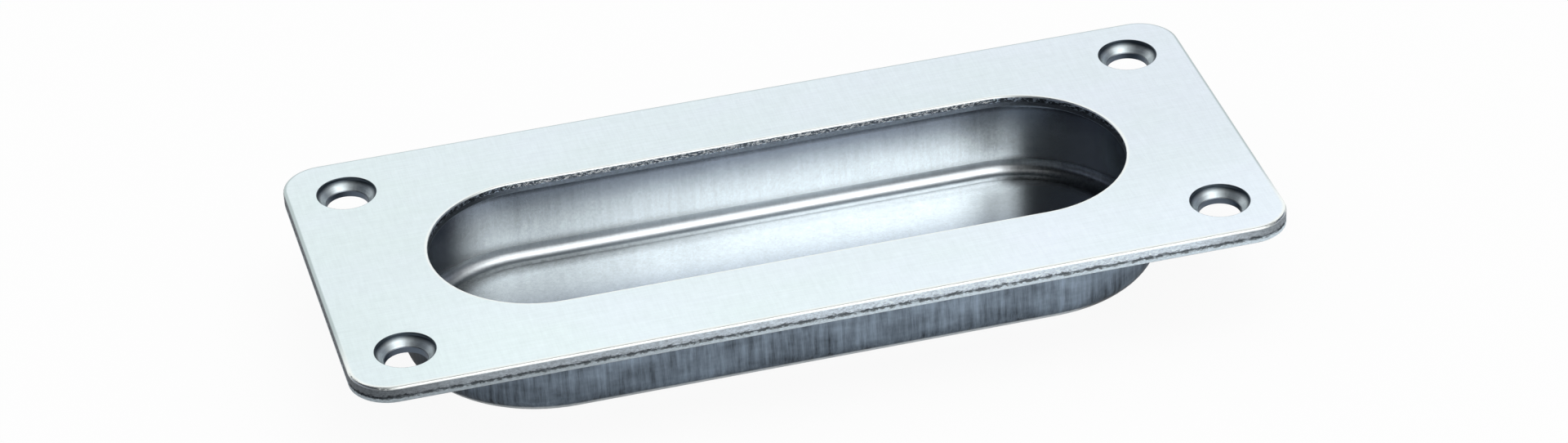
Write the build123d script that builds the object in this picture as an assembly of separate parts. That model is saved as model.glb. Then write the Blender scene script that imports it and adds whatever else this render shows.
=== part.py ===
from build123d import *
import math
import os

# Recessed pull handle, in millimetres.
#
# A punched and countersunk face plate lies on the flange of a deep-drawn oblong cup of the same outline.
# The plate's window is smaller than the cup all round, so that its edge overhangs as a lip for the fingers.
# Origin: centre of the screw pattern, on the flange's back, which seats on the door.
# +X runs along the handle, +Y across it and +Z out of the door. The cup sinks into the door, below z = 0.

# ---- Driving dimensions ----

# Outline, shared by both sheets
PLATE_LENGTH = 125.0
PLATE_WIDTH = 55.0
CORNER_RADIUS = 5.5

# Sheets
FACE_SHEET = 1.5
CUP_SHEET = 0.8

# Window in the face plate, with full half-round ends
WINDOW_LENGTH = 94.5
WINDOW_WIDTH = 29.5

# Drawn cup
LIP_OVERHANG = 3.5          # from the window's edge to the inside of the cup's wall
CUP_DEPTH = 12.7            # from the flange's back to the outside of the floor
FLOOR_RADIUS = 2.0          # inside radius between wall and floor, left by the punch
MOUTH_RADIUS = 1.6          # outside radius between wall and flange, left by the die

# Screw holes
HOLE_EDGE_DISTANCE = 8.0    # from a hole's centre to the two nearest edges of the plate
SCREW_CLEARANCE = 5.6       # diameter through both sheets
SCREW_HEAD = 7.8            # diameter of the countersink's wide end
COUNTERSINK_ANGLE = 90.0
HEAD_SINK = 0.4             # straight entry above the cone, which lets a head lie below the face

# Spot welds that hold the sheets together, seen as shallow electrode marks on the flange's back
WELD_MARK_WIDTH = 3.0
WELD_MARK_DEPTH = 0.12
WELD_PITCH = 34.0
WELDS_PER_SIDE = 3

# Edges
FACE_EDGE_RADIUS = 0.4      # brushed-over rim of the visible face
WINDOW_EDGE_RADIUS = 0.25
BLANKED_EDGE_BREAK = 0.15   # deburred hidden edges, which leave a fine groove between the sheets
HOLE_EDGE_BREAK = 0.1

# Cutters
OVERRUN = 1.0               # how far a cutter runs past the face it leaves by

# ---- Sizes that follow ----

FLANGE_FACE = CUP_SHEET                 # height of the plane where the two sheets meet
FRONT_FACE = FLANGE_FACE + FACE_SHEET   # height of the visible face
INNER_LENGTH = WINDOW_LENGTH + 2 * LIP_OVERHANG
INNER_WIDTH = WINDOW_WIDTH + 2 * LIP_OVERHANG
OUTER_LENGTH = INNER_LENGTH + 2 * CUP_SHEET
OUTER_WIDTH = INNER_WIDTH + 2 * CUP_SHEET
FLANGE_RUN = min(PLATE_LENGTH - OUTER_LENGTH, PLATE_WIDTH - OUTER_WIDTH) / 2
DIE_RADIUS = min(MOUTH_RADIUS, FLANGE_RUN / 2, CUP_DEPTH / 4)
PUNCH_RADIUS = min(FLOOR_RADIUS, CUP_DEPTH / 2, INNER_WIDTH / 4)
HOLE_SPACING_X = PLATE_LENGTH - 2 * HOLE_EDGE_DISTANCE
HOLE_SPACING_Y = PLATE_WIDTH - 2 * HOLE_EDGE_DISTANCE


def sheet_blank(thickness, base):
    """Flat rounded blank of the shared outline, from the height base upwards."""
    outline = RectangleRounded(PLATE_LENGTH, PLATE_WIDTH, CORNER_RADIUS)
    return Pos(0, 0, base) * extrude(outline, thickness)


def oblong_block(length, width, bottom, top):
    """Upright block with half-round ends."""
    return Pos(0, 0, bottom) * extrude(SlotOverall(length, width), top - bottom)


def rounded_below(block, radius):
    """The block with the rim of its lowest face rounded."""
    return fillet(block.faces().sort_by(Axis.Z)[0].edges(), radius)


def screw_hole():
    """Turned cutter for one screw: clearance, cone, straight entry and a broken top edge."""
    clearance_radius = SCREW_CLEARANCE / 2
    head_radius = SCREW_HEAD / 2
    cone_top = FRONT_FACE - HEAD_SINK
    cone_height = (head_radius - clearance_radius) / math.tan(math.radians(COUNTERSINK_ANGLE / 2))
    profile = Polyline(
        (0, 0, -OVERRUN),
        (clearance_radius, 0, -OVERRUN),
        (clearance_radius, 0, cone_top - cone_height),
        (head_radius, 0, cone_top),
        (head_radius, 0, FRONT_FACE - HOLE_EDGE_BREAK),
        (head_radius + HOLE_EDGE_BREAK, 0, FRONT_FACE),
        (head_radius + HOLE_EDGE_BREAK, 0, FRONT_FACE + OVERRUN),
        (0, 0, FRONT_FACE + OVERRUN),
        close=True,
    )
    return revolve(make_face(profile), Axis.Z)


def screw_holes():
    """One cutter at each corner of the screw pattern."""
    return [place * screw_hole() for place in GridLocations(HOLE_SPACING_X, HOLE_SPACING_Y, 2, 2)]


def weld_marks():
    """Shallow spherical dents in the flange's back, in a row on each long side of the cup."""
    ball_radius = (WELD_MARK_WIDTH ** 2 / 4 + WELD_MARK_DEPTH ** 2) / (2 * WELD_MARK_DEPTH)
    ball = Pos(0, 0, WELD_MARK_DEPTH - ball_radius) * Rot(90, 0, 0) * Sphere(ball_radius)
    mark = ball & Box(2 * WELD_MARK_WIDTH, 2 * WELD_MARK_WIDTH, 2 * WELD_MARK_DEPTH)
    row_spacing = (PLATE_WIDTH + OUTER_WIDTH) / 2 + DIE_RADIUS
    return [place * mark for place in GridLocations(WELD_PITCH, row_spacing, WELDS_PER_SIDE, 2)]


def face_plate():
    """Visible sheet: rounded outline, punched window and countersunk holes."""
    plate = sheet_blank(FACE_SHEET, FLANGE_FACE)
    plate = fillet(plate.faces().sort_by(Axis.Z)[-1].edges(), FACE_EDGE_RADIUS)
    plate = chamfer(plate.faces().sort_by(Axis.Z)[0].edges(), BLANKED_EDGE_BREAK)
    plate -= oblong_block(WINDOW_LENGTH, WINDOW_WIDTH, FLANGE_FACE - OVERRUN, FRONT_FACE + OVERRUN)
    window_rim = plate.faces().sort_by(Axis.Z)[-1].inner_wires()[0]
    plate = fillet(window_rim.edges(), WINDOW_EDGE_RADIUS)
    return plate - screw_holes()


def finger_cup():
    """Drawn sheet: full-outline flange, upright wall and flat floor, of one thickness round every bend."""
    flange = sheet_blank(CUP_SHEET, 0)
    flange = chamfer(flange.faces().filter_by(Axis.Z).edges(), BLANKED_EDGE_BREAK)
    pocket = oblong_block(OUTER_LENGTH, OUTER_WIDTH, -CUP_DEPTH, FLANGE_FACE / 2)
    cup = flange + rounded_below(pocket, PUNCH_RADIUS + CUP_SHEET)
    flange_root = cup.faces().filter_by(Axis.Z).sort_by(Axis.Z)[1].inner_wires()[0]
    cup = fillet(flange_root.edges(), DIE_RADIUS)
    hollow = oblong_block(INNER_LENGTH, INNER_WIDTH, CUP_SHEET - CUP_DEPTH, FLANGE_FACE + OVERRUN)
    cup -= rounded_below(hollow, PUNCH_RADIUS)
    mouth = cup.faces().sort_by(Axis.Z)[-1].inner_wires()[0]
    cup = fillet(mouth.edges(), DIE_RADIUS + CUP_SHEET)
    return cup - screw_holes() - weld_marks()


PARTS = {
    "face_plate": face_plate,
    "finger_cup": finger_cup,
}

os.makedirs("parts", exist_ok=True)
for name, make in PARTS.items():
    part = make()
    part.label = name
    export_step(part, f"parts/{name}.step")
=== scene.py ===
"""Looks for a recessed pull handle: satin face plate, bright drawn finger cup and the studio round them.

The two CAD sheets keep their shape. This script dresses them, lights them and places the camera.
Lengths are metres, and the patterns on the metal are worked out in millimetres.
Some of the light and shade on the metal is painted into its colour, as the finishes below say.
"""

import logging
import math
from dataclasses import dataclass, field
from enum import Enum
from typing import Any, ClassVar, Mapping, Optional, Union

import bpy
from mathutils import Matrix, Vector

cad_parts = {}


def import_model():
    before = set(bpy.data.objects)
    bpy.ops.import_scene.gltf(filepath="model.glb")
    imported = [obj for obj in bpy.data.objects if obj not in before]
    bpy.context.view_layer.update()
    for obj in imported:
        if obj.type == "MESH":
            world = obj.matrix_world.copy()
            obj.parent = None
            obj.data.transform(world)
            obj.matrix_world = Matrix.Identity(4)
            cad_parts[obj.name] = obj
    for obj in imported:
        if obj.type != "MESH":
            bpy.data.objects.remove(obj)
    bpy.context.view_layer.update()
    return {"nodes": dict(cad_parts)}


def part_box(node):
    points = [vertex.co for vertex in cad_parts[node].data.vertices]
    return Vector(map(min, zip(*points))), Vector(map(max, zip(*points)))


log = logging.getLogger("pull_handle")

MM = 0.001
RELIEF_DEPTH = 0.12 * MM
WHITE = (1.0, 1.0, 1.0, 1.0)
Colour = tuple[float, float, float]
Range = tuple[float, float]


class Shape(Enum):
    """Outlines that a mask can follow in plan."""

    OBLONG = "oblong"
    ROUNDED_RECTANGLE = "rounded rectangle"


class Texture(Enum):
    """Soft random patterns on the metal, around 0.5."""

    BRUSHING = ((0.12, 5.0, 1.0), 3.0, 0.6)
    CROSS_MARKS = ((3.5, 0.25, 1.0), 2.0, 0.6)
    MOTTLE = ((0.9, 0.9, 1.0), 3.0, 0.6)
    CLOUD = ((0.05, 0.09, 1.0), 3.0, 0.55)
    FACE_GRAIN = ((0.3, 6.0, 1.0), 2.0, 0.6)
    FACE_PITS = ((2.6, 2.6, 4.5), 3.0, 0.7)
    TURNING = ((0.8, 0.8, 6.0), 3.0, 0.6)
    FLECKS = ((1.7, 1.7, 3.2), 3.0, 0.75)
    GAPS = ((0.8, 0.8, 1.4), 2.0, 0.6)
    DRAW_MARKS = ((1.3, 1.3, 0.12), 4.0, 0.7)
    PATCHES = ((0.10, 0.10, 0.22), 4.0, 0.65)
    CUP_GRAIN = ((3.0, 3.0, 3.0), 2.0, 0.6)
    CUP_PITS = ((2.0, 2.0, 4.5), 3.0, 0.7)

    def __init__(self, stretch: tuple[float, float, float], detail: float, roughness: float) -> None:
        """Names the numbers of a pattern.

        Args:
            stretch: How many features there are in a millimetre along x, y and z.
            detail: Number of finer layers.
            roughness: Strength of the finer layers.
        """
        self.stretch = stretch
        self.detail = detail
        self.roughness = roughness


class Wire:
    """One value travelling through a material, on which ordinary arithmetic adds Math nodes."""

    def __init__(self, sheet: "NodeSheet", socket: bpy.types.NodeSocket) -> None:
        """Wraps a socket.

        Args:
            sheet: The node sheet that the socket belongs to.
            socket: The output socket that carries the value.
        """
        self.sheet = sheet
        self.socket = socket

    def _maths(self, operation: str, *values: Any) -> "Wire":
        """Adds one Math node.

        Args:
            operation: Blender's name of the operation.
            values: The node's inputs in order.

        Returns:
            The node's result.
        """
        sockets = dict(enumerate(values))
        return self.sheet.node("ShaderNodeMath", {"operation": operation}, sockets)

    def __add__(self, other: Any) -> "Wire":
        """Sum."""
        return self._maths("ADD", self, other)

    __radd__ = __add__

    def __sub__(self, other: Any) -> "Wire":
        """Difference."""
        return self._maths("SUBTRACT", self, other)

    def __rsub__(self, other: Any) -> "Wire":
        """Difference taken from a number."""
        return self._maths("SUBTRACT", other, self)

    def __mul__(self, other: Any) -> "Wire":
        """Product."""
        return self._maths("MULTIPLY", self, other)

    __rmul__ = __mul__

    def __truediv__(self, other: Any) -> "Wire":
        """Quotient."""
        return self._maths("DIVIDE", self, other)

    def __abs__(self) -> "Wire":
        """Size without sign."""
        return self._maths("ABSOLUTE", self)

    def at_least(self, other: Any) -> "Wire":
        """The larger of the two values."""
        return self._maths("MAXIMUM", self, other)

    def at_most(self, other: Any) -> "Wire":
        """The smaller of the two values."""
        return self._maths("MINIMUM", self, other)

    def root(self) -> "Wire":
        """Square root."""
        return self._maths("SQRT", self)

    def swing(self, strength: float) -> "Wire":
        """This pattern centred on 0 and scaled."""
        return (self - 0.5) * strength

    def dimming(self, strength: Any) -> "Wire":
        """The level that is left where this mask takes away a share of it."""
        return 1.0 - self * strength

    def step(self, low: float, high: float) -> "Wire":
        """Smooth step.

        Args:
            low: Where the step starts, at 0.
            high: Where it ends, at 1. A high below low gives a falling step.

        Returns:
            A value from 0 to 1.
        """
        lower, upper = min(low, high), max(low, high)
        start, end = (0.0, 1.0) if low < high else (1.0, 0.0)
        sockets = {0: self, 1: lower, 2: upper, 3: start, 4: end}
        return self.sheet.node("ShaderNodeMapRange", {"interpolation_type": "SMOOTHSTEP"}, sockets)


@dataclass(frozen=True)
class Spot:
    """Where a point of one of the sheets lies.

    Attributes:
        place: Its position in millimetres.
        x: Its place along the handle.
        y: Its place across the handle.
        z: Its height.
        rim: Distance outside the sheet's outline, negative inside.
        screw: Distance from the axis of the nearest screw.
    """

    place: Wire
    x: Wire
    y: Wire
    z: Wire
    rim: Wire
    screw: Wire


class NodeSheet:
    """A material or world under construction."""

    def __init__(self, owner: Union[bpy.types.Material, bpy.types.World]) -> None:
        """Empties the owner's node tree.

        Args:
            owner: The material or world to build in.
        """
        owner.use_nodes = True
        self.tree = owner.node_tree
        self.tree.nodes.clear()

    def node(
        self,
        kind: str,
        settings: Optional[Mapping[str, Any]] = None,
        sockets: Optional[Mapping[Union[int, str], Any]] = None,
        output: Union[int, str] = 0,
    ) -> Wire:
        """Adds a node.

        Args:
            kind: Blender's node type.
            settings: The node's own settings, set before its sockets.
            sockets: Values or wires for its inputs, by name or place.
            output: Which of its outputs to return.

        Returns:
            The chosen output.
        """
        made = self.tree.nodes.new(kind)
        for name, value in (settings or {}).items():
            setattr(made, name, value)
        for key, value in (sockets or {}).items():
            if isinstance(value, Wire):
                self.tree.links.new(value.socket, made.inputs[key])
            else:
                made.inputs[key].default_value = value
        return Wire(self, made.outputs[output])

    def finish(self, kind: str, shader: Wire) -> None:
        """Sends a shader to the output node.

        Args:
            kind: The output node's type.
            shader: What the surface looks like.
        """
        output = self.tree.nodes.new(kind)
        self.tree.links.new(shader.socket, output.inputs["Surface"])

    def finish_metal(self, colour: Wire, roughness: Wire, height: Wire, bump_strength: float) -> None:
        """Ends the material as bare metal.

        Args:
            colour: Colour of the metal.
            roughness: Its gloss.
            height: Relief of its fine texture.
            bump_strength: How strongly the relief shows.
        """
        relief = {"Strength": bump_strength, "Distance": RELIEF_DEPTH, "Height": height}
        bump = self.node("ShaderNodeBump", sockets=relief)
        sockets = {"Base Color": colour, "Metallic": 1.0, "Roughness": roughness, "Normal": bump}
        self.finish("ShaderNodeOutputMaterial", self.node("ShaderNodeBsdfPrincipled", sockets=sockets))

    def mix(self, factor: Any, first: Any, second: Any) -> Wire:
        """Mixes two colours.

        Args:
            factor: 0 gives the first colour and 1 the second.
            first: A colour or a wire.
            second: A colour or a wire.

        Returns:
            The mixed colour.
        """
        colours = [c if isinstance(c, Wire) else (*c, 1.0) for c in (first, second)]
        settings = {"data_type": "RGBA"}
        return self.node("ShaderNodeMix", settings, {0: factor, 6: colours[0], 7: colours[1]}, 2)

    def shade(self, colour: Any, level: Any) -> Wire:
        """Multiplies a colour by a level.

        Args:
            colour: A colour or a wire.
            level: The factor for all three channels.

        Returns:
            The brighter or darker colour.
        """
        return self.node("ShaderNodeVectorMath", {"operation": "SCALE"}, {0: colour, "Scale": level})

    def place(self) -> Wire:
        """Position on the object in millimetres."""
        coordinates = self.node("ShaderNodeTexCoord", output="Object")
        return self.shade(coordinates, 1 / MM)

    def axes(self, place: Wire) -> tuple[Wire, Wire, Wire]:
        """Splits a position.

        Args:
            place: The position.

        Returns:
            Its x, y and z.
        """
        split = self.node("ShaderNodeSeparateXYZ", sockets={0: place}).socket.node
        return Wire(self, split.outputs[0]), Wire(self, split.outputs[1]), Wire(self, split.outputs[2])

    def noise(self, place: Wire, texture: Texture) -> Wire:
        """Soft random pattern around 0.5.

        Args:
            place: Position in millimetres.
            texture: Which pattern.

        Returns:
            The pattern.
        """
        scaled = self.node("ShaderNodeMapping", sockets={"Vector": place, "Scale": texture.stretch})
        layers = {"Detail": texture.detail, "Roughness": texture.roughness}
        return self.node("ShaderNodeTexNoise", sockets={"Vector": scaled, "Scale": 1.0, **layers})

    def screw_distance(self, place: Wire, reach_x: float, reach_y: float) -> Wire:
        """Distance in plan from the axis of the nearest screw.

        Args:
            place: Position in millimetres.
            reach_x: How far the screws lie from the middle along x.
            reach_y: How far they lie from it along y.

        Returns:
            The distance in millimetres.
        """
        x, y, _ = self.axes(place)
        past_x = abs(x) - reach_x
        past_y = abs(y) - reach_y
        return (past_x * past_x + past_y * past_y).root()

    def outside(self, place: Wire, shape: Shape, length: float, width: float, corner: float = 0.0) -> Wire:
        """Distance in plan from an outline centred on the origin.

        Args:
            place: Position in millimetres.
            shape: What the outline is.
            length: Its size along x.
            width: Its size along y.
            corner: Corner radius, which an oblong takes from its width.

        Returns:
            Millimetres outside the outline, negative inside.
        """
        radius = width / 2 if shape is Shape.OBLONG else corner
        x, y, _ = self.axes(place)
        past_x = (abs(x) - (length / 2 - radius)).at_least(0.0)
        past_y = (abs(y) - (width / 2 - radius)).at_least(0.0)
        return (past_x * past_x + past_y * past_y).root() - radius

    def spot(self, part: "SteelSheet") -> Spot:
        """Works out where a point of a steel sheet lies.

        Args:
            part: Sizes of the sheet.

        Returns:
            The point's place and its distances from the sheet's outline and screws.
        """
        place = self.place()
        rim = self.outside(place, Shape.ROUNDED_RECTANGLE, part.length, part.width, part.corner)
        screw = self.screw_distance(place, part.screw_reach_x, part.screw_reach_y)
        return Spot(place, *self.axes(place), rim, screw)


@dataclass(frozen=True)
class TornEdge:
    """Sheared edge of a sheet, with a broken dark line along the seam between the two sheets.

    A range says where something starts and ends to come in.

    Attributes:
        colour: Its colour.
        smooth_level: How bright it is without pits.
        pit_gain: How much brighter the pits make it.
        seam_height: Range of the dark line, in millimetres from the seam.
        seam_swing: How far its border wanders.
        seam_strength: How dark it is.
        left_level: How bright the edge is at the handle's left end, where its painted light is weakest.
        right_gain: How much painted light brightens it to the right.
        corner_strength: How much painted shade darkens it near the sheet's short sides.
        rightwards: Where that painted light comes in, in parts of the sheet's length.
        near_short_side: Where that painted shade comes in near the short sides, in the same parts.
        gap_fade: Which of the random gaps break the dark line.
        gap_level: How much of the dark line is left in a gap.
    """

    colour: Colour
    smooth_level: float
    pit_gain: float
    seam_height: Range
    seam_swing: float
    seam_strength: float
    left_level: float
    right_gain: float
    corner_strength: float = 0.0
    rightwards: Range = (-0.45, 0.15)
    near_short_side: Range = (0.36, 0.49)
    gap_fade: Range = (0.38, 0.5)
    gap_level: float = 0.3

    def build(
        self, sheet: NodeSheet, spot: Spot, length: float, from_seam: Wire, pits: Wire, flecks: Wire
    ) -> Wire:
        """Works out the edge's colour.

        Args:
            sheet: The material under construction.
            spot: Where the point lies.
            length: Length of the steel sheet.
            from_seam: Distance from the seam.
            pits: Fine pits.
            flecks: Coarser flecks.

        Returns:
            The colour.
        """
        gaps = sheet.noise(spot.place, Texture.GAPS).step(*self.gap_fade)
        line = (from_seam + flecks.swing(self.seam_swing)).step(*self.seam_height)
        line = line * (self.gap_level + gaps * (1.0 - self.gap_level))
        level = (self.smooth_level + pits * self.pit_gain) * line.dimming(self.seam_strength)
        # painted shade near the short sides, and painted light that grows to the right
        level = level * (abs(spot.x) / length).step(*self.near_short_side).dimming(self.corner_strength)
        painted_shading = self.left_level + (spot.x / length).step(*self.rightwards) * self.right_gain
        return sheet.shade(self.colour, level * painted_shading)


@dataclass(frozen=True)
class SatinPlate:
    """Brushed stainless face with sheared edges and turned countersinks.

    A range says where something starts and ends to come in. Depths are millimetres under the face. Reaches
    are millimetres outside an outline or from a screw's axis. Shares are parts of the plate's own size.

    Attributes:
        face: Colour of the brushed face.
        tinged: The same face where it looks cooler.
        painted_highlight: Colour of the painted highlight on its front rim and round the window's lip.
        painted_rim_shade: Colour of the painted shade on the rim at the sides and the back.
        punched: Colour of the window's edge.
        turned: Colour of the countersinks' cones.
        shadowed: Colour of the straight entry above a cone.
        back_finish_and_shade: Colour of the plate's back, its mill finish darkened by painted shade under
            the lip.
        edge: The sheared outer edge.
        textures: Patterns on the face and their strengths.
        face_level: Brightness of the face.
        front_gain: How much painted light brightens it towards the front.
        front_share: Where that painted light comes in across the plate.
        left_share: Where it comes in along the plate.
        tinge_slope: How much cooler the face is to the right.
        tinge_cloud: How much the clouds cool it.
        tinge_start: How much of both shows nothing yet.
        side_share: Where the front rim's painted highlight gives way to the other rims' painted shade.
        painted_highlight_reach: Range of the front rim's painted highlight.
        painted_rim_shade_reach: Range of the other rims' painted shade.
        rim_strength: How far the rims' painted shade and the lip's painted highlight take over their
            colour.
        lip_reach: Range of the painted highlight on the lip round the window.
        lip_depth: Depth of that painted highlight.
        edge_reach: Range of the sheared edge.
        edge_depth: Depth at which the sheared edge begins.
        punch_reach: Range of the window's edge.
        punch_depth: Depth at which the window's edge begins.
        burnish_depth: Depth of the burnished part of the window's edge.
        fleck_fade: Which flecks glint in the burnished part.
        glint_gain: How much brighter a fleck glints there.
        glint_start: How much darker that part is between the flecks.
        punched_level: Brightness of the window's edge.
        punched_swing: How much the pits change it.
        window_end_share: Where painted shade comes in at the window's ends, in parts of the window's
            length.
        window_end_strength: How much that painted shade darkens it.
        sink_reach: Range of a screw hole.
        cone_depth: Depth at which a countersink's cone begins.
        cone_foot: Height above the plate's back at which the cone ends.
        turned_level: Brightness of the cone without turning marks.
        turning_gain: How much brighter the turning marks make it.
        back_height: Height above the plate's back at which the back begins.
        face_roughness: Gloss of the face.
        torn_roughness: How much duller the cut edges are.
        fine_roughness: How much the grain and the screw holes change the gloss.
        grain_relief: Height of the grain in the relief.
        pit_relief: Height of the pits in the cut edges.
        bump_strength: How strongly the relief shows.
    """

    face: Colour = (0.765, 0.872, 0.885)
    tinged: Colour = (0.765, 0.838, 0.905)
    painted_highlight: Colour = (0.95, 0.99, 0.96)
    painted_rim_shade: Colour = (0.42, 0.50, 0.50)
    punched: Colour = (0.52, 0.60, 0.70)
    turned: Colour = (0.80, 0.89, 0.92)
    shadowed: Colour = (0.07, 0.09, 0.11)
    back_finish_and_shade: Colour = (0.34, 0.39, 0.44)
    # the sheared edge: painted light to the right, painted shade near the short sides
    edge: TornEdge = TornEdge(
        colour=(0.62, 0.69, 0.75),
        smooth_level=0.3,
        pit_gain=1.4,
        seam_height=(0.42, 0.16),
        seam_swing=1.2,
        seam_strength=0.75,
        left_level=0.6,
        right_gain=0.65,
        corner_strength=0.6,
    )
    textures: tuple[tuple[Texture, float], ...] = (
        (Texture.BRUSHING, 0.14),
        (Texture.CROSS_MARKS, 0.12),
        (Texture.MOTTLE, 0.09),
        (Texture.CLOUD, 0.09),
    )
    face_level: float = 0.995
    front_gain: float = 0.095
    front_share: Range = (0.1, -0.5)
    left_share: Range = (-0.52, -0.32)
    tinge_slope: float = 0.8
    tinge_cloud: float = 1.6
    tinge_start: float = 0.3
    side_share: Range = (-0.42, -0.2)
    painted_highlight_reach: Range = (-0.75, -0.25)
    painted_rim_shade_reach: Range = (-0.55, -0.32)
    rim_strength: float = 0.8
    lip_reach: Range = (0.55, 0.2)
    lip_depth: Range = (0.25, 0.1)
    edge_reach: Range = (-0.24, -0.06)
    edge_depth: Range = (0.16, 0.38)
    punch_reach: Range = (0.26, 0.12)
    punch_depth: Range = (0.14, 0.26)
    burnish_depth: Range = (1.0, 0.7)
    fleck_fade: Range = (0.49, 0.56)
    glint_gain: float = 2.4
    glint_start: float = 0.45
    punched_level: float = 0.8
    punched_swing: float = 0.9
    window_end_share: Range = (0.30, 0.42)
    window_end_strength: float = 0.8
    sink_reach: Range = (4.06, 3.98)
    cone_depth: Range = (0.42, 0.95)
    cone_foot: Range = (0.0, 0.15)
    turned_level: float = 0.7
    turning_gain: float = 0.6
    back_height: Range = (0.08, 0.02)
    face_roughness: float = 0.3
    torn_roughness: float = 0.32
    fine_roughness: float = 0.12
    grain_relief: float = 0.8
    pit_relief: float = 3.0
    bump_strength: float = 0.12

    def face_colour(self, sheet: NodeSheet, spot: Spot, plate: "FacePlate") -> Wire:
        """Works out the brushed face, with painted light and painted rim highlight and shade.

        Args:
            sheet: The material under construction.
            spot: Where the point lies.
            plate: Sizes of the plate.

        Returns:
            The colour.
        """
        along = spot.x / plate.length
        across = spot.y / plate.width
        patterns = {texture: sheet.noise(spot.place, texture) for texture, _ in self.textures}
        # painted light: brighter towards the front, except at the left end
        painted_front_light = across.step(*self.front_share) * along.step(*self.left_share)
        level = self.face_level + painted_front_light * self.front_gain
        for texture, strength in self.textures:
            level = level + patterns[texture].swing(strength)
        tinge = along * self.tinge_slope + patterns[Texture.CLOUD] * self.tinge_cloud - self.tinge_start
        face = sheet.mix(tinge.at_least(0.0).at_most(1.0), self.face, self.tinged)
        side = across.step(*self.side_share)
        # painted highlight on the front rim, painted shade on the rims at the sides and back
        front_rim = spot.rim.step(*self.painted_highlight_reach) * (1.0 - side)
        other_rims = spot.rim.step(*self.painted_rim_shade_reach) * side * self.rim_strength
        face = sheet.mix(front_rim, sheet.shade(face, level), self.painted_highlight)
        return sheet.mix(other_rims, face, self.painted_rim_shade)

    def window_colour(
        self, sheet: NodeSheet, spot: Spot, under_face: Wire, pits: Wire, flecks: Wire, plate: "FacePlate"
    ) -> Wire:
        """Works out the window's punched edge: burnished above, torn below, painted shade at its ends.

        Args:
            sheet: The material under construction.
            spot: Where the point lies.
            under_face: Depth under the face.
            pits: Fine pits.
            flecks: Coarser flecks.
            plate: Sizes of the plate.

        Returns:
            The colour.
        """
        glints = flecks.step(*self.fleck_fade) * self.glint_gain - self.glint_start
        level = self.punched_level + pits.swing(self.punched_swing)
        level = level + under_face.step(*self.burnish_depth) * glints
        # painted shade round the window's ends
        painted_end_shade = (abs(spot.x) / plate.window_length).step(*self.window_end_share)
        return sheet.shade(self.punched, level * painted_end_shade.dimming(self.window_end_strength))

    def screw_colour(self, sheet: NodeSheet, spot: Spot, under_face: Wire, above_back: Wire) -> Wire:
        """Works out a countersunk hole: dark straight entry and turned cone.

        Args:
            sheet: The material under construction.
            spot: Where the point lies.
            under_face: Depth under the face.
            above_back: Height above the plate's back.

        Returns:
            The colour.
        """
        cone = under_face.step(*self.cone_depth) * above_back.step(*self.cone_foot)
        level = self.turned_level + sheet.noise(spot.place, Texture.TURNING) * self.turning_gain
        return sheet.mix(cone, self.shadowed, sheet.shade(self.turned, level))

    def build(self, plate: "FacePlate") -> bpy.types.Material:
        """Makes the material.

        Args:
            plate: Sizes of the plate that it covers.

        Returns:
            The finished material.
        """
        material = bpy.data.materials.new("satin_face_plate")
        sheet = NodeSheet(material)
        spot = sheet.spot(plate)
        under_face = plate.top - spot.z
        above_back = spot.z - plate.bottom
        window = sheet.outside(spot.place, Shape.OBLONG, plate.window_length, plate.window_width)
        pits = sheet.noise(spot.place, Texture.FACE_PITS)
        flecks = sheet.noise(spot.place, Texture.FLECKS)
        grain = sheet.noise(spot.place, Texture.FACE_GRAIN)

        edge = under_face.step(*self.edge_depth) * spot.rim.step(*self.edge_reach)
        punch = under_face.step(*self.punch_depth) * window.step(*self.punch_reach)
        # painted highlight on the lip round the window
        lip = window.step(*self.lip_reach) * under_face.step(*self.lip_depth)
        sink = spot.screw.step(*self.sink_reach)

        colour = sheet.mix(lip * self.rim_strength, self.face_colour(sheet, spot, plate), self.painted_highlight)
        torn = self.edge.build(sheet, spot, plate.length, above_back, pits, flecks)
        colour = sheet.mix(edge, colour, torn)
        colour = sheet.mix(punch, colour, self.window_colour(sheet, spot, under_face, pits, flecks, plate))
        colour = sheet.mix(sink, colour, self.screw_colour(sheet, spot, under_face, above_back))
        # the plate's back: mill finish darkened by painted shade under the lip
        colour = sheet.mix(above_back.step(*self.back_height), colour, self.back_finish_and_shade)

        cut = (edge + punch).at_most(1.0)
        roughness = self.face_roughness + grain.swing(self.fine_roughness)
        roughness = roughness + cut * self.torn_roughness + sink * self.fine_roughness
        height = grain * self.grain_relief + cut * pits * self.pit_relief
        sheet.finish_metal(colour, roughness, height, self.bump_strength)
        return material


@dataclass(frozen=True)
class PaintedShadePatch:
    """A part of the cup's inside that painted shade darkens.

    A range says where the patch starts and ends to come in. A missing range doesn't limit the patch.

    Attributes:
        strength: How much of the brightness the painted shade takes away.
        swell: What is added to that strength further along the handle.
        swell_along: Where it is added, in parts of the cup's length.
        along: Range along the handle, in parts of the cup's length.
        across: Range across the handle, in parts of the cup's width.
        height: Range of height in millimetres.
        walls: Ranges outside the middle of the cup's wall, in millimetres.
        lean: Millimetres that the patch moves along the handle for each millimetre down.
    """

    strength: float
    swell: float = 0.0
    swell_along: Range = (0.0, 1.0)
    along: Optional[Range] = None
    across: Optional[Range] = None
    height: Optional[Range] = None
    walls: tuple[Range, ...] = ()
    lean: float = 0.0

    def amount(self, spot: Spot, wall: Wire, cup: "FingerCup") -> Wire:
        """Works out how much brightness the painted shade takes away.

        Args:
            spot: Where the point lies.
            wall: Distance outside the middle of the cup's wall.
            cup: Sizes of the cup.

        Returns:
            The missing share.
        """
        limits = [
            ((spot.x + spot.z * self.lean) / cup.cup_length, self.along),
            (spot.y / cup.cup_width, self.across),
            (spot.z, self.height),
        ]
        limits += [(wall, reach) for reach in self.walls]
        missing = self.strength + (spot.x / cup.cup_length).step(*self.swell_along) * self.swell
        for value, reach in limits:
            if reach is not None:
                missing = missing * value.step(*reach)
        return missing


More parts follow.
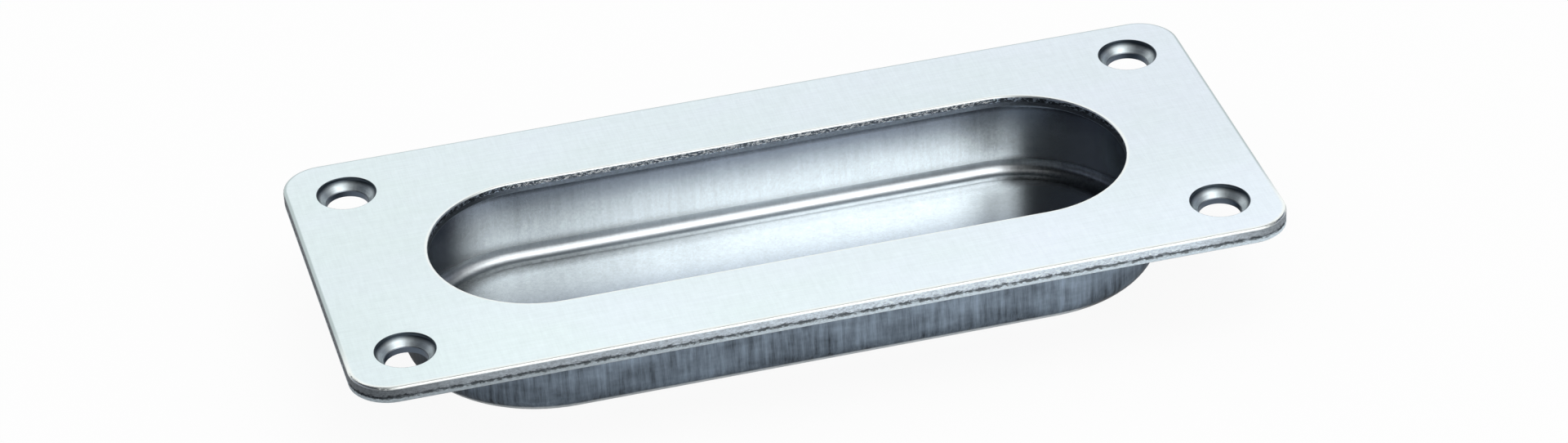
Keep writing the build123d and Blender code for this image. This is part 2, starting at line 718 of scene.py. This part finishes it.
@dataclass(frozen=True)
class DrawnCup:
    """Bright drawn stainless inside, dull and streaked by the die outside.

    A range says where something starts and ends to come in. Shares are parts of the cup's length.

    Attributes:
        inside: Colour of the punch side.
        throat_shade: Colour of the painted shade on the wall just under the lip.
        outside: Colour of the die side.
        painted_bore_shade: Colour of the screw holes, dark with painted shade.
        edge: The sheared flange edge.
        inside_textures: Patterns on the punch side and their strengths.
        painted_light_level: Brightness of the punch side at its left end, where the painted light is
            weakest.
        painted_light_level_gain: How much painted light brightens it to the right.
        painted_light_level_share: Where that painted light comes in.
        throat_shade_depth: Range of that painted shade, in millimetres under the flange's face.
        mouth: Painted shade in a ring at the cup's mouth, under the lip.
        right_wedge: Painted dark reflection in a wedge that leans over the right end of the wall.
        upper_left: Painted shade on the upper wall to the left.
        end_bend: Painted dark reflection on the bend round the floor at the right end.
        foot: Painted dark reflection along the floor's edge and bend by the far wall, strongest to the
            left.
        streak_gain: How much brighter the draw marks make the die side.
        patch_gain: How much brighter the patches make it.
        streak_start: How much of both shows nothing yet.
        darkest: Lowest brightness of the die side.
        outside_level: Brightness of the die side at its left end, where the painted light is weakest.
        outside_gain: How much painted light brightens it to the right.
        outside_share: Where that painted light comes in.
        outside_end_share: Where painted shade darkens it round the cup's ends.
        bottom_rim_shade: Height over the cup's bottom at which painted shade darkens its rim.
        bottom_rim_strength: How much that painted shade darkens it.
        under_flange_shade: Height at which painted shadow darkens the wall under the flange.
        shadow_strength: How much the painted shadow darkens it there and round the cup's ends.
        rim_reach: Range of the flange's edge, in millimetres outside its outline.
        hole_reach: Range of a screw hole, in millimetres from its axis.
        bend_height: Height over the cup's bottom at which the floor's bend begins.
        bend_reach: Range of the bend, in millimetres outside the middle of the wall.
        inside_roughness: Gloss of the punch side.
        bend_roughness: How much duller the stretched bend at the floor is.
        outside_roughness: Gloss of the die side.
        edge_roughness: Gloss of the flange's edge.
        fine_roughness: How much the textures change the gloss.
        grain_relief: Height of the grain beside that of the draw marks.
        pit_relief: Height of the pits in the flange's edge.
        bump_strength: How strongly the relief shows.
        blend: Half the width over which the punch side turns into the die side, in millimetres.
    """

    inside: Colour = (0.872, 0.928, 0.958)
    throat_shade: Colour = (0.42, 0.47, 0.57)
    outside: Colour = (0.25, 0.31, 0.38)
    painted_bore_shade: Colour = (0.12, 0.15, 0.19)
    # the flange's edge: painted light that grows to the right
    edge: TornEdge = TornEdge(
        colour=(0.60, 0.68, 0.73),
        smooth_level=0.5,
        pit_gain=1.0,
        seam_height=(0.30, 0.12),
        seam_swing=0.9,
        seam_strength=0.72,
        left_level=0.68,
        right_gain=0.5,
    )
    inside_textures: tuple[tuple[Texture, float], ...] = (
        (Texture.DRAW_MARKS, 0.24),
        (Texture.PATCHES, 0.2),
        (Texture.CUP_GRAIN, 0.24),
    )
    painted_light_level: float = 0.75
    painted_light_level_gain: float = 0.23
    painted_light_level_share: Range = (-0.45, 0.08)
    throat_shade_depth: Range = (8.0, 1.0)
    # patches of painted shade; some stand in for dark reflections
    mouth: PaintedShadePatch = PaintedShadePatch(0.6, height=(-2.3, -1.5))
    right_wedge: PaintedShadePatch = PaintedShadePatch(
        0.6, swell=-0.39, swell_along=(0.33, 0.38), along=(0.25, 0.33), height=(-11.5, -7.0), lean=0.3
    )
    upper_left: PaintedShadePatch = PaintedShadePatch(0.2, along=(-0.11, -0.35), height=(-10.0, -5.5))
    end_bend: PaintedShadePatch = PaintedShadePatch(0.68, along=(0.33, 0.37), height=(-9.0, -10.3), walls=((-3.4, -2.4),))
    foot: PaintedShadePatch = PaintedShadePatch(
        0.26, swell=0.42, swell_along=(0.12, -0.30), across=(-0.25, 0.1), walls=((-5.0, -2.7), (-1.3, -2.1))
    )
    streak_gain: float = 2.1
    patch_gain: float = 1.9
    streak_start: float = 1.12
    darkest: float = 0.2
    outside_level: float = 0.96
    outside_gain: float = 0.2
    outside_share: Range = (-0.35, 0.15)
    outside_end_share: Range = (0.43, 0.48)
    bottom_rim_shade: Range = (2.4, 0.5)
    bottom_rim_strength: float = 0.7
    under_flange_shade: Range = (-5.5, -2.5)
    shadow_strength: float = 0.75
    rim_reach: Range = (-0.2, -0.05)
    hole_reach: Range = (2.95, 2.85)
    bend_height: Range = (3.8, 2.4)
    bend_reach: Range = (-4.0, -2.0)
    inside_roughness: float = 0.2
    bend_roughness: float = 0.1
    outside_roughness: float = 0.42
    edge_roughness: float = 0.6
    fine_roughness: float = 0.08
    grain_relief: float = 0.4
    pit_relief: float = 2.0
    bump_strength: float = 0.1
    blend: float = 0.1

    def punch_colour(
        self, sheet: NodeSheet, spot: Spot, wall: Wire, marks: Mapping[Texture, Wire], cup: "FingerCup"
    ) -> Wire:
        """Works out the bright inside, with painted light to the right and patches of painted shade.

        Args:
            sheet: The material under construction.
            spot: Where the point lies.
            wall: Distance outside the middle of the cup's wall.
            marks: Patterns left by the draw.
            cup: Sizes of the cup.

        Returns:
            The colour.
        """
        # painted shade on the upper wall under the lip
        deep, shallow = self.throat_shade_depth
        painted_shading = spot.z.step(cup.sheet - deep, cup.sheet - shallow)
        # painted light that grows to the right, then patches of painted shade and painted dark reflection
        level = self.painted_light_level + (spot.x / cup.cup_length).step(*self.painted_light_level_share) * self.painted_light_level_gain
        for patch in (self.mouth, self.right_wedge, self.upper_left, self.end_bend, self.foot):
            level = level * (1.0 - patch.amount(spot, wall, cup))
        for texture, strength in self.inside_textures:
            level = level + marks[texture].swing(strength)
        return sheet.shade(sheet.mix(painted_shading, self.inside, self.throat_shade), level)

    def die_colour(
        self, sheet: NodeSheet, spot: Spot, marks: Mapping[Texture, Wire], cup: "FingerCup"
    ) -> Wire:
        """Works out the streaked outside: painted light to the right, painted shade at bottom, top and
        ends.

        Args:
            sheet: The material under construction.
            spot: Where the point lies.
            marks: Patterns left by the draw.
            cup: Sizes of the cup.

        Returns:
            The colour.
        """
        streaks = marks[Texture.DRAW_MARKS] * self.streak_gain
        patches = marks[Texture.PATCHES] * self.patch_gain
        level = (streaks + patches - self.streak_start).at_least(self.darkest)
        # painted light that grows to the right
        rightwards = (spot.x / cup.cup_length).step(*self.outside_share)
        level = level * (self.outside_level + rightwards * self.outside_gain)
        # painted shade round the floor's bend, under the flange and round the ends
        bottom_rim_shade = (spot.z - cup.bottom).step(*self.bottom_rim_shade)
        painted_end_shade = (abs(spot.x) / cup.cup_length).step(*self.outside_end_share)
        shadow = (spot.z.step(*self.under_flange_shade) + painted_end_shade).at_most(1.0)
        level = level * bottom_rim_shade.dimming(self.bottom_rim_strength)
        return sheet.shade(self.outside, level * shadow.dimming(self.shadow_strength))

    def build(self, cup: "FingerCup") -> bpy.types.Material:
        """Makes the material.

        Args:
            cup: Sizes of the cup that it covers.

        Returns:
            The finished material.
        """
        material = bpy.data.materials.new("drawn_finger_cup")
        sheet = NodeSheet(material)
        spot = sheet.spot(cup)
        wall = sheet.outside(spot.place, Shape.OBLONG, cup.middle_length, cup.middle_width)
        under_floor = spot.z.step(cup.floor_middle + self.blend, cup.floor_middle - self.blend)
        die_side = (wall.step(-self.blend, self.blend) + under_floor).at_most(1.0)
        edge = spot.rim.step(*self.rim_reach)

        marks = {texture: sheet.noise(spot.place, texture) for texture, _ in self.inside_textures}
        pits = sheet.noise(spot.place, Texture.CUP_PITS)
        flecks = sheet.noise(spot.place, Texture.FLECKS)
        streaks = marks[Texture.DRAW_MARKS]

        punched = self.punch_colour(sheet, spot, wall, marks, cup)
        drawn = sheet.mix(die_side, punched, self.die_colour(sheet, spot, marks, cup))
        torn = self.edge.build(sheet, spot, cup.length, cup.sheet - spot.z, pits, flecks)
        colour = sheet.mix(edge, drawn, torn)
        # painted shade in the screw holes
        colour = sheet.mix(spot.screw.step(*self.hole_reach), colour, self.painted_bore_shade)

        bend = (spot.z - cup.bottom).step(*self.bend_height) * wall.step(*self.bend_reach)
        roughness = self.inside_roughness + bend * self.bend_roughness
        roughness = roughness + marks[Texture.PATCHES].swing(self.fine_roughness)
        roughness = roughness + die_side * (self.outside_roughness - roughness)
        roughness = roughness + edge * (self.edge_roughness - roughness)
        roughness = roughness + die_side * streaks.swing(self.fine_roughness)
        draw_relief = streaks + marks[Texture.CUP_GRAIN] * self.grain_relief
        height = draw_relief * die_side + edge * pits * self.pit_relief
        sheet.finish_metal(colour, roughness, height, self.bump_strength)
        return material


def size_of(node: str) -> tuple[Vector, Vector]:
    """Corners of a CAD node in millimetres.

    Args:
        node: The node's name.

    Returns:
        Its lowest and highest corner.
    """
    low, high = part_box(node)
    return low / MM, high / MM


@dataclass
class SteelSheet:
    """What the handle's two sheets have in common.

    Attributes:
        length: Size along x in millimetres.
        width: Size along y.
        bottom: Height of its lowest point.
        top: Height of its highest point.
        corner: Corner radius.
        screw_edge: Distance from a screw's axis to the two nearest edges.
    """

    node: ClassVar[str]

    length: float
    width: float
    bottom: float
    top: float
    corner: float = 5.5
    screw_edge: float = 8.0

    @classmethod
    def from_frame(cls) -> "SteelSheet":
        """Reads the sheet's outer sizes from the frame."""
        low, high = size_of(cls.node)
        return cls(length=high.x - low.x, width=high.y - low.y, bottom=low.z, top=high.z)

    @property
    def screw_reach_x(self) -> float:
        """Distance of the screws from the middle along x."""
        return self.length / 2 - self.screw_edge

    @property
    def screw_reach_y(self) -> float:
        """Distance of the screws from the middle along y."""
        return self.width / 2 - self.screw_edge

    def dress(self, thing: bpy.types.Object, material: bpy.types.Material) -> None:
        """Gives the CAD sheet its material.

        Args:
            thing: The sheet's object.
            material: The material for all its slots.
        """
        for slot in thing.material_slots:
            slot.link = "OBJECT"
            slot.material = material
        log.info("%s dressed, %.1f x %.1f mm", self.node, self.length, self.width)


@dataclass
class FacePlate(SteelSheet):
    """The visible sheet.

    Attributes:
        window_length: Length of the finger window.
        window_width: Width of the finger window.
        finish: What covers it.
    """

    node: ClassVar[str] = "face_plate"

    window_length: float = 94.5
    window_width: float = 29.5
    finish: SatinPlate = field(default_factory=SatinPlate)

    def build(self, thing: bpy.types.Object) -> None:
        """Dresses the plate."""
        self.dress(thing, self.finish.build(self))


@dataclass
class FingerCup(SteelSheet):
    """The drawn sheet behind the face plate.

    Attributes:
        cup_length: Outer length of the cup.
        cup_width: Outer width of the cup.
        finish: What covers it.
    """

    node: ClassVar[str] = "finger_cup"

    cup_length: float = 103.1
    cup_width: float = 38.1
    finish: DrawnCup = field(default_factory=DrawnCup)

    @property
    def sheet(self) -> float:
        """Thickness of the metal, because the flange's back lies at height 0."""
        return self.top

    @property
    def middle_length(self) -> float:
        """Length of the cup at the middle of its wall."""
        return self.cup_length - self.sheet

    @property
    def middle_width(self) -> float:
        """Width of the cup at the middle of its wall."""
        return self.cup_width - self.sheet

    @property
    def floor_middle(self) -> float:
        """Height of the middle of the floor's metal."""
        return self.bottom + self.sheet / 2

    def build(self, thing: bpy.types.Object) -> None:
        """Dresses the cup."""
        self.dress(thing, self.finish.build(self))


@dataclass(frozen=True)
class Card:
    """An upright or hanging card that only the metal sees, dark at one end and lit at the other.

    Attributes:
        name: Name of the card.
        centre: Where it stands, in metres.
        turn: Its rotation in degrees.
        size: Its length and height.
        fade: Where along its length it starts and ends to brighten, in parts of it from the middle.
        dark: How bright its dark end is.
        lit: How bright its lit end is.
        tint: Colour of the dark end.
    """

    name: str
    centre: tuple[float, float, float]
    turn: tuple[float, float, float]
    size: tuple[float, float]
    fade: Range
    dark: float = 0.01
    lit: float = 1.0
    tint: Colour = (0.85, 0.95, 1.25)

    def finish(self) -> bpy.types.Material:
        """Makes the card's glow.

        Returns:
            The finished material.
        """
        material = bpy.data.materials.new(self.name)
        sheet = NodeSheet(material)
        along, _, _ = sheet.axes(sheet.node("ShaderNodeTexCoord", output="Object"))
        dark_end = tuple(self.dark * part for part in self.tint)
        glow = sheet.mix(along.step(*self.fade), dark_end, (self.lit, self.lit, self.lit))
        shader = sheet.node("ShaderNodeEmission", sockets={"Color": glow, "Strength": 1.0})
        sheet.finish("ShaderNodeOutputMaterial", shader)
        return material

    def build(self) -> None:
        """Stands the card in the studio."""
        bpy.ops.object.select_all(action="DESELECT")
        rotation = [math.radians(angle) for angle in self.turn]
        bpy.ops.mesh.primitive_plane_add(size=1, location=self.centre, rotation=rotation)
        card = bpy.context.object
        card.name = self.name
        card.scale = (*self.size, 1)
        card.visible_camera = False
        card.visible_shadow = False
        card.visible_diffuse = False
        card.data.materials.append(self.finish())


@dataclass(frozen=True)
class Lamp:
    """One soft lamp over the handle, aimed at the origin.

    Attributes:
        centre: Where it hangs, in metres.
        side: Side of its square.
        power: Its power in watts.
    """

    centre: tuple[float, float, float] = (0.45, -0.2, 1.6)
    side: float = 1.2
    power: float = 8.0

    def build(self) -> None:
        """Hangs the lamp."""
        data = bpy.data.lights.new("soft_lamp", "AREA")
        data.size = self.side
        data.energy = self.power
        lamp = bpy.data.objects.new("soft_lamp", data)
        lamp.location = self.centre
        lamp.visible_glossy = False
        lamp.rotation_mode = "QUATERNION"
        lamp.rotation_quaternion = Vector(self.centre).to_track_quat("Z", "Y")
        bpy.context.scene.collection.objects.link(lamp)


@dataclass
class Studio:
    """Floor, surroundings, cards and lamp.

    Attributes:
        floor_height: Where the handle stands, in metres.
        floor_size: Side of the square floor.
        floor_seen_in_metal: How white the metal sees the floor.
        shadow_share: How much of the floor's own shading the camera sees.
        surroundings_level: How strongly the surroundings light the handle.
        floor_colour: Colour of the floor's own shading.
    """

    floor_height: float
    floor_size: float = 12.0
    floor_seen_in_metal: float = 0.2
    shadow_share: float = 0.07
    surroundings_level: float = 0.8
    floor_colour: tuple[float, float, float, float] = (0.8, 0.8, 0.8, 1.0)

    def build(self) -> None:
        """Sets up everything round the handle."""
        self.make_floor()
        self.make_surroundings()
        self.make_side_cards()
        self.make_front_cards()
        Lamp().build()
        log.info("studio ready")

    def seen_by(self, sheet: NodeSheet) -> tuple[Wire, Wire, Wire]:
        """Tells who looks.

        Args:
            sheet: The material or world under construction.

        Returns:
            1 or 0 for a camera ray, a mirrored ray and a transmitted ray.
        """
        path = sheet.node("ShaderNodeLightPath").socket.node
        names = ("Is Camera Ray", "Is Glossy Ray", "Is Transmission Ray")
        return tuple(Wire(sheet, path.outputs[name]) for name in names)

    def make_floor(self) -> None:
        """Adds the pale floor, which is clear from below."""
        bpy.ops.object.select_all(action="DESELECT")
        bpy.ops.mesh.primitive_plane_add(size=self.floor_size, location=(0, 0, self.floor_height))
        floor = bpy.context.object
        floor.name = "floor"
        material = bpy.data.materials.new("pale_floor")
        sheet = NodeSheet(material)
        camera, glossy, transmitted = self.seen_by(sheet)
        seen = (camera + transmitted) * (1.0 - self.shadow_share) + glossy * self.floor_seen_in_metal
        matt = sheet.node("ShaderNodeBsdfDiffuse", sockets={"Color": self.floor_colour})
        glow = sheet.node("ShaderNodeEmission", sockets={"Color": WHITE, "Strength": 1.0})
        lit = sheet.node("ShaderNodeMixShader", sockets={0: seen, 1: matt, 2: glow})
        below = sheet.node("ShaderNodeNewGeometry", output="Backfacing")
        clear = sheet.node("ShaderNodeBsdfTransparent")
        surface = sheet.node("ShaderNodeMixShader", sockets={0: below, 1: lit, 2: clear})
        sheet.finish("ShaderNodeOutputMaterial", surface)
        floor.data.materials.append(material)

    def make_surroundings(self) -> None:
        """Makes the world white where it is seen and plain where it only lights."""
        world = bpy.data.worlds.new("studio_walls")
        bpy.context.scene.world = world
        sheet = NodeSheet(world)
        camera, glossy, transmitted = self.seen_by(sheet)
        seen = (camera + glossy + transmitted).at_most(1.0)
        strength = self.surroundings_level + seen * (1.0 - self.surroundings_level)
        glow = sheet.node("ShaderNodeBackground", sockets={"Color": WHITE, "Strength": strength})
        sheet.finish("ShaderNodeOutputWorld", glow)

    def make_side_cards(self) -> None:
        """Stands the cards at both ends of the handle, dark above and lighter near the floor."""
        upright = (90, 0, 90)
        past_the_end = (0.6, 0.7)  # no fade on the card itself, which stays dark throughout
        Card("card_left", (-3.0, -0.4, 3.85), upright, (5.8, 4.9), past_the_end).build()
        Card("card_left_low", (-3.0, -0.4, 0.6), upright, (5.8, 1.6), past_the_end, dark=0.25).build()
        Card("card_right", (3.5, 0.4, 3.05), upright, (3.6, 3.1), past_the_end, dark=0.05).build()
        Card("card_right_low", (3.5, 0.4, 0.65), upright, (3.6, 1.7), past_the_end, dark=0.25).build()

    def make_front_cards(self) -> None:
        """Stands the cards that the cup mirrors, in front of the handle and above it."""
        upright = (90, 0, 0)
        Card("card_front", (-0.9, -3.0, 1.3), upright, (4.2, 3.0), (-0.13, 0.19), lit=1.27).build()
        Card("card_high", (0.35, -3.0, 4.4), upright, (6.7, 3.2), (-0.15, -0.02), lit=2.5).build()
        Card(
            name="card_front_right",
            centre=(2.35, -2.2, 1.3),
            turn=(90, 0, 35),
            size=(2.8, 3.0),
            fade=(0.55, -0.45),
            dark=0.05,
            lit=1.27,
        ).build()
        Card(
            name="card_above",
            centre=(-0.4, 0.03, 3.0),
            turn=(180, 0, 0),
            size=(6.2, 2.1),
            fade=(-0.12, 0.25),
            dark=0.04,
            lit=0.62,
        ).build()


@dataclass
class StudioCamera:
    """The camera, aimed at the middle of the visible face.

    Attributes:
        azimuth: Degrees round the handle, 0 looking along +Y.
        elevation: Degrees above the horizon.
        roll: Degrees that the camera leans about its line of sight.
        distance: Metres from the handle.
        lens: Focal length in millimetres.
        sensor_width: Width of the sensor in millimetres.
        clip: Nearest and farthest distance that it shows, in metres.
        slide: Metres that the camera slides to its right and up.
    """

    azimuth: float = -13.416
    elevation: float = 32.778
    roll: float = -2.909
    distance: float = 0.70279
    lens: float = 122.27
    sensor_width: float = 36.0
    clip: Range = (0.05, 50.0)
    slide: tuple[float, float] = (0.00055, -0.00328)

    def build(self, aim: Vector) -> None:
        """Places the camera.

        Args:
            aim: The point that it is aimed at.
        """
        turn, lift, lean = (math.radians(a) for a in (self.azimuth, self.elevation, self.roll))
        back = Vector((math.sin(turn) * math.cos(lift), -math.cos(turn) * math.cos(lift), math.sin(lift)))
        level = Vector((math.cos(turn), math.sin(turn), 0))
        upright = back.cross(level)
        right = level * math.cos(lean) + upright * math.sin(lean)
        up = upright * math.cos(lean) - level * math.sin(lean)
        data = bpy.data.cameras.new("studio_camera")
        data.lens = self.lens
        data.sensor_width = self.sensor_width
        data.clip_start, data.clip_end = self.clip
        camera = bpy.data.objects.new("studio_camera", data)
        bpy.context.scene.collection.objects.link(camera)
        place = aim + back * self.distance + right * self.slide[0] + up * self.slide[1]
        camera.matrix_world = Matrix.Translation(place) @ Matrix((right, up, back)).transposed().to_4x4()
        bpy.context.scene.camera = camera
        log.info("camera %.2f m away", self.distance)


def main() -> None:
    """Builds the scene piece by piece."""
    logging.basicConfig(level=logging.INFO, format="%(name)s: %(message)s")
    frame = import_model()
    bpy.ops.object.select_all(action="DESELECT")
    plate = FacePlate.from_frame()
    plate.build(frame["nodes"]["face_plate"])
    cup = FingerCup.from_frame()
    cup.build(frame["nodes"]["finger_cup"])
    Studio(floor_height=cup.bottom * MM).build()
    StudioCamera().build(Vector((0, 0, plate.top * MM)))
    bpy.context.scene.view_settings.view_transform = "Standard"


if __name__ == "__main__":
    main()
